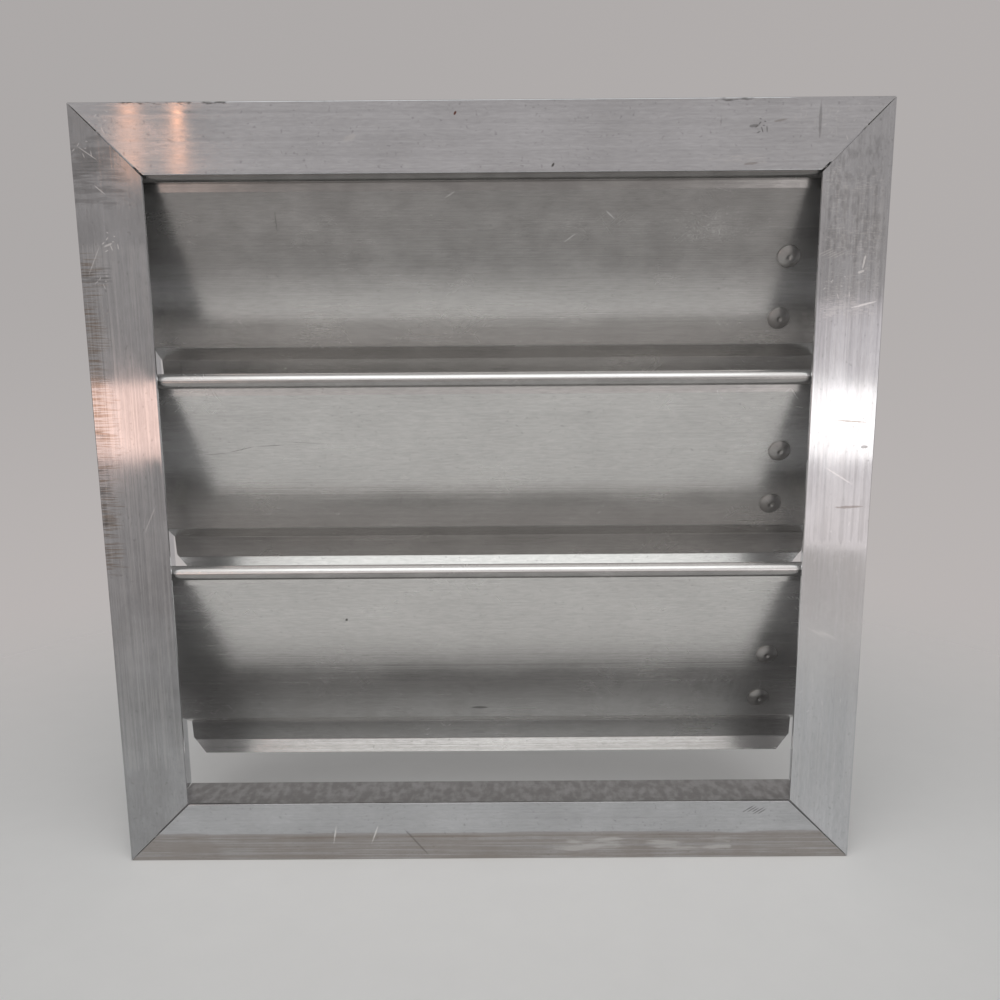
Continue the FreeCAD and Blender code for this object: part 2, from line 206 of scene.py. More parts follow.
class Shader:
    """Node tree of one material or world."""

    def __init__(self, owner: Union[bpy.types.Material, bpy.types.World]) -> None:
        """Empties the owner's node tree.

        Args:
            owner: Material or world to build.
        """
        owner.use_nodes = True
        self.owner = owner
        self.tree = owner.node_tree
        self.tree.nodes.clear()

    @classmethod
    def named(cls, name: str) -> "Shader":
        """Starts a new material.

        Args:
            name: Material's name.

        Returns:
            The empty shader.
        """
        return cls(bpy.data.materials.new(name))

    def add(self, kind: str, settings: dict, sockets: dict, output: Union[int, str] = 0) -> Signal:
        """Adds one node.

        Args:
            kind: Node type.
            settings: Node properties by name.
            sockets: Input values or signals by socket name or number.
            output: Output that is returned.

        Returns:
            The chosen output.
        """
        node = self.tree.nodes.new(kind)
        for key, setting in settings.items():
            setattr(node, key, setting)
        for key, value in sockets.items():
            if isinstance(value, Signal):
                self.tree.links.new(value.socket, node.inputs[key])
            else:
                node.inputs[key].default_value = value
        return Signal(self, node.outputs[output])

    def place(self) -> Signal:
        """Gives the point on the surface in the part's own frame.

        Returns:
            Position in metres.
        """
        return self.add("ShaderNodeTexCoord", {}, {}, "Object")

    def axis(self, vector: Signal, name: str) -> Signal:
        """Takes one component of a vector.

        Args:
            vector: Vector to split.
            name: X, Y or Z.

        Returns:
            The component.
        """
        return self.add("ShaderNodeSeparateXYZ", {}, {0: vector}, name)

    def scaled(self, vector: Signal, scale: tuple) -> Signal:
        """Multiplies a vector by a constant, axis by axis.

        Args:
            vector: Vector to scale.
            scale: Factor for each axis.

        Returns:
            The scaled vector.
        """
        return self.add("ShaderNodeVectorMath", {"operation": "MULTIPLY"}, {0: vector, 1: scale})

    def turned(self, vector: Signal, degrees: float) -> Signal:
        """Turns a vector about the duct's axis.

        Args:
            vector: Vector to turn.
            degrees: Angle about Y.

        Returns:
            The turned vector.
        """
        sockets = {"Vector": vector, "Rotation": (0.0, math.radians(degrees), 0.0)}
        return self.add("ShaderNodeMapping", {"vector_type": "POINT"}, sockets)

    def noise(self, place: Signal, scale: Union[float, tuple], detail: float) -> Signal:
        """Samples smooth noise.

        Args:
            place: Position in metres.
            scale: Features per metre, for all axes or for each one.
            detail: Octaves added to the first.

        Returns:
            Noise from about 0 to 1.
        """
        factors = scale if isinstance(scale, tuple) else (scale, scale, scale)
        sockets = {"Vector": self.scaled(place, factors), "Scale": 1.0, "Detail": detail}
        return self.add("ShaderNodeTexNoise", {}, sockets)

    def mix(self, first: Anything, second: Anything, factor: Value) -> Signal:
        """Mixes two colours.

        Args:
            first: Colour at factor 0.
            second: Colour at factor 1.
            factor: Share of the second colour.

        Returns:
            The mixed colour.
        """
        sockets = {MIX_FACTOR: factor, MIX_FIRST: self.paint(first), MIX_SECOND: self.paint(second)}
        return self.add("ShaderNodeMix", {"data_type": "RGBA"}, sockets, MIX_RESULT)

    def dimmed(self, colour: Anything, factor: Value) -> Signal:
        """Multiplies a colour by a grey value.

        Args:
            colour: Colour to change.
            factor: Brightness factor.

        Returns:
            The changed colour.
        """
        settings = {"data_type": "RGBA", "blend_type": "MULTIPLY"}
        grey = self.add("ShaderNodeCombineColor", {}, {0: factor, 1: factor, 2: factor})
        sockets = {MIX_FACTOR: 1.0, MIX_FIRST: self.paint(colour), MIX_SECOND: grey}
        return self.add("ShaderNodeMix", settings, sockets, MIX_RESULT)

    @staticmethod
    def paint(colour: Anything) -> Anything:
        """Adds the alpha that colour sockets hold to a plain colour.

        Args:
            colour: Colour tuple or signal.

        Returns:
            Four-part colour, or the signal unchanged.
        """
        return colour if isinstance(colour, Signal) else (*colour, 1.0)

    def bump(self, height: Signal, rounding: float = 0.0) -> Signal:
        """Turns a height into a normal.

        Args:
            height: Height in metres.
            rounding: Radius in metres of the wear on sharp edges.

        Returns:
            Normal for a surface shader.
        """
        sockets = {"Strength": 1.0, "Distance": 1.0, "Height": height}
        if rounding:
            rays = 6
            sockets["Normal"] = self.add("ShaderNodeBevel", {"samples": rays}, {"Radius": rounding})
        return self.add("ShaderNodeBump", {}, sockets)

    def surface(self, sockets: dict) -> bpy.types.Material:
        """Ends the tree with one surface shader.

        Args:
            sockets: Inputs of the surface shader by name.

        Returns:
            The finished material.
        """
        return self.show("ShaderNodeOutputMaterial", self.add("ShaderNodeBsdfPrincipled", {}, sockets))

    def show(self, kind: str, shader: Signal) -> Union[bpy.types.Material, bpy.types.World]:
        """Ends the tree with its output node.

        Args:
            kind: Output node type.
            shader: Shader to show.

        Returns:
            The finished material or world.
        """
        output = self.tree.nodes.new(kind)
        self.tree.links.new(shader.socket, output.inputs["Surface"])
        return self.owner


@dataclass(frozen=True)
class Canvas:
    """Front view of a surface in millimetres, with the noises that its marks share."""

    shader: Shader
    place: Signal
    flat: Signal
    x: Signal
    z: Signal
    ragged: Signal
    blotch: Signal
    haze: Signal

    @classmethod
    def over(cls, shader: Shader, place: Signal) -> "Canvas":
        """Spreads the canvas over a surface.

        Args:
            shader: Shader that draws on it.
            place: Position in metres.

        Returns:
            The canvas.
        """
        flat = shader.scaled(place, (1.0 / MILLIMETRE, 0.0, 1.0 / MILLIMETRE))
        ragged = shader.noise(place, RAGGED_EDGE, 1.0) - 0.5
        blotch = shader.noise(place, BLOTCH, 2.0)
        haze = shader.noise(place, HAZE, 3.0)
        x, z = (shader.axis(flat, name) for name in ("X", "Z"))
        return cls(shader, place, flat, x, z, ragged, blotch, haze)

    @staticmethod
    def band(distance: Signal, low: float, high: float, soft: float) -> Signal:
        """Covers what lies between two limits.

        Args:
            distance: Place along one axis in millimetres.
            low: Lower limit.
            high: Upper limit.
            soft: Width of the soft edges, inside the limits.

        Returns:
            Mask from 0 to 1.
        """
        return distance.ramp(low, low + soft) * distance.ramp(high, high - soft)


@dataclass(frozen=True)
class Mark:
    """One stain, scuff or scratch, as a soft ellipse seen from the front (millimetres)."""

    x: float
    z: float
    half_length: float
    half_width: float
    tone: Tone
    degrees: float = 0.0
    strength: float = 1.0

    def mask(self, canvas: Canvas) -> Signal:
        """Covers the mark's area.

        Args:
            canvas: Surface that carries it.

        Returns:
            Mask from 0 to 1.
        """
        ellipse = {
            "Vector": canvas.flat,
            "Location": (self.x, 0.0, self.z),
            "Rotation": (0.0, -math.radians(self.degrees), 0.0),
            "Scale": (self.half_length, 1.0, self.half_width),
        }
        inward = canvas.shader.add("ShaderNodeMapping", {"vector_type": "TEXTURE"}, ellipse)
        dot = {"operation": "DOT_PRODUCT"}
        square = canvas.shader.add("ShaderNodeVectorMath", dot, {0: inward, 1: inward}, "Value")
        rim, core = 1.0, 0.3
        return (square + canvas.ragged).ramp(rim, core) * self.strength


@dataclass(frozen=True)
class Patch:
    """Area of broken streaks, in a soft rectangle seen from the front (millimetres): wear and dirt, and on
    the bottom member part of a painted reflection.
    """

    left: float
    right: float
    low: float
    high: float
    tone: Tone
    grain: Grain
    pitch: float = 0.9
    length: float = 12.0
    cover: float = 0.5
    soft: float = 3.0
    strength: float = 1.0

    def mask(self, canvas: Canvas) -> Signal:
        """Covers the streaks.

        Args:
            canvas: Surface that carries them.

        Returns:
            Mask from 0 to 1.
        """
        inside = canvas.band(canvas.x, self.left, self.right, self.soft)
        inside = inside * canvas.band(canvas.z, self.low, self.high, self.soft)
        stretch = self.grain.stretch(1.0 / (self.length * MILLIMETRE), 1.0 / (self.pitch * MILLIMETRE))
        streaks = canvas.shader.noise(canvas.place, stretch, 2.0)
        # fewer streaks pass toward the edges
        thinning = (1.0 - inside) * 0.3
        amount = streaks * 0.7 + canvas.blotch * 0.3 - thinning
        bare, full = 0.9 - self.cover, 1.06 - self.cover
        edge = inside.ramp(0.0, 0.25)
        return amount.ramp(bare, full) * edge * self.strength


@dataclass(frozen=True)
class HeightBand:
    """Thin even tint between two heights (millimetres): a plain tint on the frame members, and painted shade,
    painted highlights and a painted reflection where the marks say so.
    """

    low: float
    high: float
    strength: float
    soft: float = 1.0
    tone: Tone = Tone.DARK

    def mask(self, canvas: Canvas) -> Signal:
        """Covers the band, a little unevenly.

        Args:
            canvas: Surface that carries it.

        Returns:
            Mask from 0 to 1.
        """
        inside = canvas.band(canvas.z, self.low, self.high, self.soft)
        uneven = (canvas.haze - 0.5) * 0.5 + 1.0
        return inside * uneven * self.strength


Marks = tuple[Union[Mark, Patch, HeightBand], ...]

# turn from one fleck to the next, which fills a circle evenly
GOLDEN_DEGREES = 137.5


def flecks(x: float, z: float, spread: float, count: int, tone: Tone, strength: float = 0.8) -> Marks:
    """Scatters small flecks round a point.

    Args:
        x: Point's place across the face in millimetres.
        z: Point's height in millimetres.
        spread: Radius of the group in millimetres.
        count: Number of flecks.
        tone: Their colour.
        strength: Their cover.

    Returns:
        The flecks.
    """
    shortest, growth, half_width = 0.5, 0.4, 0.22
    marks = []
    for index in range(count):
        turn = index * GOLDEN_DEGREES
        reach = spread * math.sqrt((index + 0.5) / count)
        across = x + reach * math.cos(math.radians(turn))
        above = z + reach * math.sin(math.radians(turn))
        half_length = shortest + growth * (index % 3)
        slope = turn * 0.4
        marks.append(Mark(across, above, half_length, half_width, tone, slope, strength))
    return tuple(marks)


def hatching(
    x: float, z: float, count: int, length: float, degrees: float, tone: Tone, strength: float
) -> Marks:
    """Lays thin parallel strokes side by side.

    Args:
        x: First stroke's place across the face in millimetres.
        z: First stroke's height in millimetres.
        count: Number of strokes.
        length: Length of the longest stroke in millimetres.
        degrees: Slope of the strokes.
        tone: Their colour.
        strength: Their cover.

    Returns:
        The strokes.
    """
    step, drop, half_width = 1.5, 0.3, 0.32
    marks = []
    for index in range(count):
        across, above = x + step * index, z - drop * index
        half_length = length * (0.5 - 0.12 * (index % 3))
        marks.append(Mark(across, above, half_length, half_width, tone, degrees, strength))
    return tuple(marks)


@dataclass(frozen=True)
class MetalFinish:
    """Bare drawn, rolled or plated metal with lines, mottling, scratches and marks, some of which are painted
    shade and painted highlights.

    Depths, pitches and radii are in metres. The other values are shares of the whole effect.
    """

    name: str
    colour: Colour
    roughness: float
    grain: Grain = Grain.ALONG_X
    line_depth: float = 1.2e-5
    line_pitch: float = 0.0007
    line_tone: float = 0.34
    mottle: float = 0.34
    scratches: float = 0.5
    marks: Marks = ()
    pitting: float = 0.25
    metallic: float = 0.96
    dust_and_shade: float = 0.0
    fleck: float = 0.14
    dents: float = 0.0
    rounding: float = 0.0
    mitre_painted_shade: float = 0.0

    def lines(self, shader: Shader, place: Signal) -> Signal:
        """Draws the coarse and fine lines of the rolling or extrusion.

        Args:
            shader: Shader that draws them.
            place: Position in metres.

        Returns:
            Line height from 0 to 1.
        """
        fine_per_metre = 1.0 / self.line_pitch
        coarse = shader.noise(place, self.grain.stretch(1.5, 0.3 * fine_per_metre), 1.0)
        fine = shader.noise(place, self.grain.stretch(9.0, fine_per_metre), 3.0)
        return coarse * 0.45 + fine * 0.55

    def scratch_mask(self, shader: Shader, place: Signal) -> Signal:
        """Draws short random scratches, gathered in patches.

        Args:
            shader: Shader that draws them.
            place: Position in metres.

        Returns:
            Mask from 0 to 1.
        """
        patches = shader.noise(place, SCRATCH_GROUP, 3.0).ramp(0.48, 0.66)
        scratches = None
        for degrees in (-52.0, -12.0, 38.0):
            streak = shader.noise(shader.turned(place, degrees), SCRATCH, 0.0).ramp(0.72, 0.8)
            scratches = streak if scratches is None else scratches | streak
        return scratches * patches * self.scratches

    def upward_dust_and_shade(self, shader: Shader, place: Signal) -> Signal:
        """Covers the faces that look upward with dust, which on the frame's bottom wall also serves as
        painted shade.

        Args:
            shader: Shader that draws it.
            place: Position in metres.

        Returns:
            Mask from 0 to 1.
        """
        normal = shader.add("ShaderNodeNewGeometry", {}, {}, "Normal")
        upward = shader.axis(normal, "Z").ramp(0.6, 0.9)
        flakes = shader.noise(place, DUST_AND_SHADE_FLAKE, 3.0).ramp(0.7, 0.36)
        return upward * (flakes * 0.28 + 0.67) * self.dust_and_shade

    def marked(self, shader: Shader, place: Signal, colour: Signal) -> Signal:
        """Lays pits, the painted shade of the mitre gaps and the placed marks over a colour.

        Args:
            shader: Shader that draws them.
            place: Position in metres.
            colour: Colour below the marks.

        Returns:
            Colour with the marks.
        """
        pits = shader.noise(place, PIT, 2.0).ramp(0.64, 0.74)
        colour = shader.mix(colour, Tone.DARK.value, pits * self.pitting)
        normal = shader.add("ShaderNodeTexCoord", {}, {}, "Normal")
        # a mitre's cut face looks along X and Z alike; these cut faces are painted near-black as the shade
        # inside the mitre gaps
        slant = shader.axis(normal, "X") * shader.axis(normal, "Z")
        mitre = (slant * slant).ramp(0.15, 0.22)
        colour = shader.mix(colour, Tone.MITRE_GAP_SHADE.value, mitre * self.mitre_painted_shade)
        # the placed marks lie on faces that look forward
        forward = shader.axis(normal, "Y").ramp(-0.1, -0.35)
        canvas = Canvas.over(shader, place)
        for mark in self.marks:
            colour = shader.mix(colour, mark.tone.value, mark.mask(canvas) * forward)
        return colour

    def material(self) -> bpy.types.Material:
        """Builds the material.

        Returns:
            The finished material.
        """
        shader = Shader.named(self.name)
        place = shader.place()
        lines = self.lines(shader, place)
        cloud = shader.noise(place, self.grain.stretch(30.0, 60.0), 4.0)
        scratch = self.scratch_mask(shader, place)
        fleck = shader.noise(place, self.grain.stretch(220.0, 1300.0), 2.0)
        tone = (lines - 0.5) * self.line_tone + (cloud - 0.5) * self.mottle + (fleck - 0.5) * self.fleck + 1.0
        colour = shader.mix(shader.dimmed(self.colour, tone), Tone.PALE.value, scratch)
        # dust on the upward faces, and partly painted shade on the frame's bottom wall
        dust_and_shade = self.upward_dust_and_shade(shader, place)
        wear = (cloud - 0.5) * 0.16 + (lines - 0.5) * 0.12 + scratch * 0.1 + dust_and_shade * 0.45
        height = lines * self.line_depth
        if self.dents:
            height = height + shader.noise(place, DENT, 2.0) * self.dents
        return shader.surface({
            "Base Color": shader.mix(self.marked(shader, place, colour), Tone.DUST_AND_SHADE.value, dust_and_shade),
            "Metallic": self.metallic,
            "Roughness": wear + self.roughness,
            "Normal": shader.bump(height, self.rounding),
        })


@dataclass(frozen=True)
class MouldedFinish:
    """Unpainted moulded plastic with a faint flow pattern."""

    name: str
    colour: Colour
    roughness: float

    def material(self) -> bpy.types.Material:
        """Builds the material.

        Returns:
            The finished material.
        """
        shader = Shader.named(self.name)
        place = shader.place()
        flow = shader.noise(place, MOULD_FLOW, 3.0)
        relief = 2e-5
        return shader.surface({
            "Base Color": shader.dimmed(self.colour, (flow - 0.5) * 0.2 + 1.0),
            "Roughness": (flow - 0.5) * 0.2 + self.roughness,
            "Normal": shader.bump(flow * relief),
        })


@dataclass(frozen=True)
class FloorFinish:
    """Plain matt studio floor that fades into the surround."""

    name: str
    colour: Colour
    fade: tuple[float, float]

    def material(self) -> bpy.types.Material:
        """Builds the material.

        Returns:
            The finished material.
        """
        shader = Shader.named(self.name)
        place = shader.place()
        cloud = shader.noise(place, FLOOR_CLOUD, 3.0)
        colour = shader.dimmed(self.colour, (cloud - 0.5) * 0.04 + 1.0)
        matt = shader.add("ShaderNodeBsdfPrincipled", {}, {"Base Color": colour, "Roughness": 0.9})
        clear = shader.add("ShaderNodeBsdfTransparent", {}, {})
        reach = shader.add("ShaderNodeVectorMath", {"operation": "LENGTH"}, {0: place}, "Value")
        faded = shader.add("ShaderNodeMixShader", {}, {0: reach.ramp(*self.fade), 1: matt, 2: clear})
        return shader.show("ShaderNodeOutputMaterial", faded)


Finish = Union[MetalFinish, MouldedFinish]


@dataclass
class SubAssembly:
    """Group of CAD nodes that share one job in the damper."""

    title: str
    nodes: dict[str, Finish]

    def dress(self) -> int:
        """Gives every node of the group its material.

        Returns:
            Number of nodes dressed.
        """
        made: dict[str, bpy.types.Material] = {}
        for node, finish in self.nodes.items():
            if finish.name not in made:
                made[finish.name] = finish.material()
            slots = frame["nodes"][node].data.materials
            slots.clear()
            slots.append(made[finish.name])
            LOGGER.info("%s: %s", node, finish.name)
        return len(self.nodes)


@dataclass
class FrameAssembly:
    """Four mitred extrusions with their corner keys and pivot bushings."""

    colour: Colour = (0.68, 0.69, 0.71)
    roughness: float = 0.085
    film: float = 0.15
    # painted shade over the whole left member
    left_painted_shade: float = 0.46
    # dust on upward faces, and partly painted shade on the bottom wall's inner face
    dust_and_shade: float = 0.85
    fleck: float = 0.3
    # near-black painted shade on the mitre cut faces
    mitre_painted_shade: float = 0.95

    def member(self, side: str, grain: Grain, marks: Marks, scratches: float) -> MetalFinish:
        """Describes one member's finish.

        Args:
            side: Member's place in the frame.
            grain: Direction of its die lines.
            marks: Marks on its face.
            scratches: Amount of random scratches.

        Returns:
            The finish.
        """
        finish = MetalFinish(f"extrusion_{side}", self.colour, self.roughness, grain, dust_and_shade=self.dust_and_shade)
        return replace(finish, marks=marks, scratches=scratches, fleck=self.fleck, mitre_painted_shade=self.mitre_painted_shade)

    def top_marks(self) -> Marks:
        """Lists the marks on the top member.

        Returns:
            Marks in millimetres.
        """
        return (
            HeightBand(-200.0, 200.0, self.film),
            # smudge near the right corner
            *flecks(107.6, 148.4, 2.8, 8, Tone.DARK, 0.8),
            Mark(104.6, 148.3, 2.4, 0.7, Tone.DARK, 6.0, 0.5),
            # rubbed areas and brown streaks round it
            Patch(85.0, 112.0, 132.5, 140.0, Tone.PALE, Grain.ALONG_X, 0.4, 3.0, 0.44, 3.0, 0.5),
            Patch(112.0, 160.0, 138.0, 162.0, Tone.PALE, Grain.ALONG_Z, 0.4, 2.0, 0.38, 8.0, 0.5),
            Mark(114.5, 150.2, 3.0, 0.5, Tone.BROWN, 10.0, 0.4),
            Mark(104.0, 134.5, 3.4, 0.6, Tone.BROWN, 6.0, 0.4),
            # knocks along the outer edge
            Patch(88.0, 112.0, 156.2, 161.0, Tone.DARK, Grain.ALONG_X, 0.8, 3.0, 0.44, 1.6, 0.6),
            Patch(-140.0, -95.0, 156.6, 161.0, Tone.DARK, Grain.ALONG_X, 0.7, 2.2, 0.47, 1.6, 0.85),
            # bright flecks at both corners, and single spots
            *flecks(-146.0, 152.0, 5.0, 5, Tone.BRIGHT, 0.5),
            *flecks(140.0, 150.0, 9.0, 5, Tone.BRIGHT, 0.4),
            Mark(27.4, 134.5, 1.0, 0.5, Tone.DARK, 60.0, 0.9),
            Mark(-10.1, 153.8, 0.9, 0.5, Tone.RUST, 60.0, 1.0),
            Mark(-51.0, 145.0, 3.2, 1.4, Tone.PALE, 20.0, 0.5),
            Mark(129.9, 150.0, 8.0, 0.7, Tone.DARK, 90.0, 0.35),
        )

    def right_marks(self) -> Marks:
        """Lists the marks on the right member.

        Returns:
            Marks in millimetres.
        """
        return (
            # painted shade above, and a painted highlight of lamp glow below the middle
            HeightBand(-200.0, 200.0, self.film),
            HeightBand(60.0, 200.0, 0.15, 40.0),
            HeightBand(-90.0, 30.0, 0.5, 40.0, Tone.BRIGHT),
            # die lines and rubbed areas
            Patch(128.0, 162.0, -140.0, 130.0, Tone.PALE, Grain.ALONG_Z, 0.6, 60.0, 0.48, 6.0, 0.22),
            Patch(128.0, 162.0, -20.0, 130.0, Tone.DARK, Grain.ALONG_Z, 1.3, 90.0, 0.46, 6.0, 0.16),
            Patch(128.0, 162.0, 70.0, 140.0, Tone.PALE, Grain.ALONG_X, 0.4, 2.0, 0.4, 8.0, 0.5),
            Patch(128.0, 162.0, 90.0, 150.0, Tone.DARK, Grain.ALONG_Z, 1.6, 4.0, 0.44, 8.0, 0.22),
            # groups of scratches
            *hatching(134.0, 101.0, 5, 9.0, 24.0, Tone.PALE, 0.5),
            *flecks(140.0, 88.0, 6.0, 6, Tone.BRIGHT, 0.7),
            *flecks(146.0, -22.0, 15.0, 12, Tone.BRIGHT, 0.6),
            *flecks(143.0, -80.0, 12.0, 8, Tone.BRIGHT, 0.55),
            *hatching(139.0, -55.0, 5, 11.0, -32.0, Tone.BRIGHT, 0.55),
            # single scratches and scuffs
            Mark(149.9, 97.2, 3.4, 0.5, Tone.BRIGHT, 80.0, 0.9),
            Mark(149.0, 93.5, 1.6, 0.6, Tone.BRIGHT, 20.0, 0.9),
            Mark(151.0, 80.8, 5.6, 0.45, Tone.BRIGHT, 14.0, 0.9),
            Mark(145.0, 12.0, 8.0, 0.4, Tone.BRIGHT, -32.0, 0.6),
            Mark(149.0, 34.4, 8.0, 0.3, Tone.BROWN, -4.0, 0.7),
            Mark(154.6, 23.9, 1.6, 0.8, Tone.DARK, 0.0, 0.6),
            Mark(150.0, -1.0, 6.5, 0.7, Tone.BROWN, 2.0, 0.5),
        )

    def left_marks(self) -> Marks:
        """Lists the marks on the left member: painted shade over its face, scuffs from its outer edge, and
        flecks.

        Returns:
            Marks in millimetres.
        """
        return (
            # painted shade over the whole face, and more from the middle down
            HeightBand(-200.0, 200.0, self.left_painted_shade),
            HeightBand(-120.0, 0.0, 0.16, 40.0),
            # scuffs, then die lines
            Patch(-172.0, -140.0, -40.0, 112.0, Tone.BROWN, Grain.ALONG_X, 0.45, 9.0, 0.46, 16.0, 0.85),
            Patch(-172.0, -146.0, -30.0, 45.0, Tone.DARK, Grain.ALONG_X, 0.6, 12.0, 0.46, 14.0, 0.7),
            Patch(-168.0, -130.0, 112.0, 152.0, Tone.DARK, Grain.ALONG_X, 2.2, 12.0, 0.5, 12.0, 0.3),
            Patch(-168.0, -132.0, 118.0, 146.0, Tone.DARK, Grain.ALONG_X, 0.6, 9.0, 0.44, 12.0, 0.35),
            Patch(-162.0, -128.0, -120.0, 110.0, Tone.PALE, Grain.ALONG_Z, 0.6, 60.0, 0.46, 6.0, 0.2),
            Patch(-168.0, -140.0, 84.0, 102.0, Tone.DARK, Grain.ALONG_X, 0.6, 12.0, 0.5, 9.0, 0.5),
            # flecks and single scratches
            *flecks(-146.0, 107.0, 4.0, 8, Tone.BRIGHT, 0.65),
            *flecks(-150.0, 92.0, 3.0, 5, Tone.BRIGHT, 0.5),
            *flecks(-154.0, 142.0, 4.0, 6, Tone.BRIGHT, 0.5),
            Mark(-148.5, 126.5, 3.0, 0.3, Tone.BRIGHT, -40.0, 0.5),
            Mark(-147.1, 105.8, 2.0, 0.5, Tone.BRIGHT, 20.0, 0.6),
            Mark(-152.0, 140.0, 5.0, 0.25, Tone.BRIGHT, -35.0, 0.5),
            Mark(-153.0, 100.0, 7.0, 0.25, Tone.BRIGHT, 65.0, 0.4),
            Mark(-138.9, -4.4, 7.0, 0.3, Tone.PALE, 65.0, 0.5),
        )

    def bottom_marks(self) -> Marks:
        """Lists the marks on the bottom member.

        Returns:
            Marks in millimetres.
        """
        return (
            # even tint of all members, with a further 0.1 of painted shade on this member
            HeightBand(-200.0, 200.0, self.film + 0.1),
            # painted reflection: a darker brown band along the lower half, with a ragged upper edge
            HeightBand(-165.0, -146.4, 0.34, 1.6, Tone.BROWN),
            Patch(-170.0, 170.0, -148.8, -145.4, Tone.BROWN, Grain.ALONG_X, 1.6, 60.0, 0.62, 1.2, 0.4),
            # scratches on the left, strokes on the right
            Mark(-67.9, -146.9, 5.0, 0.4, Tone.BRIGHT, 80.0, 0.7),
            Mark(-50.2, -146.6, 5.5, 0.4, Tone.BRIGHT, 70.0, 0.7),
            Mark(-32.0, -150.5, 9.5, 0.5, Tone.DARK, -50.0, 0.4),
            *hatching(114.0, -135.6, 5, 7.0, 33.0, Tone.DARK, 0.6),
            # streaks in the painted brown reflection band, and pale smears
            Patch(-165.0, 165.0, -162.0, -146.0, Tone.BROWN, Grain.ALONG_X, 0.8, 50.0, 0.52, 3.0, 0.34),
            Patch(25.0, 110.0, -157.0, -147.0, Tone.PALE, Grain.ALONG_X, 2.6, 16.0, 0.5, 4.0, 0.5),
        )

    def assembly(self) -> SubAssembly:
        """Pairs the frame's nodes with their finishes.

        Returns:
            The frame's nodes and finishes.
        """
        nodes: dict[str, Finish] = {
            "frame_top": self.member("top", Grain.ALONG_X, self.top_marks(), 0.45),
            "frame_bottom": self.member("bottom", Grain.ALONG_X, self.bottom_marks(), 0.4),
            "frame_left": self.member("left", Grain.ALONG_Z, self.left_marks(), 0.6),
            "frame_right": self.member("right", Grain.ALONG_Z, self.right_marks(), 0.95),
        }
        key = MetalFinish("zinc_key", (0.52, 0.52, 0.5), 0.42, line_tone=0.1, mottle=0.3, scratches=0.3)
        nylon = MouldedFinish("nylon", (0.78, 0.76, 0.7), 0.5)
        for name in frame["nodes"]:
            if name.startswith("corner_key"):
                nodes[name] = key
            if name.startswith("pivot_bushing"):
                nodes[name] = nylon
        return SubAssembly("frame", nodes)


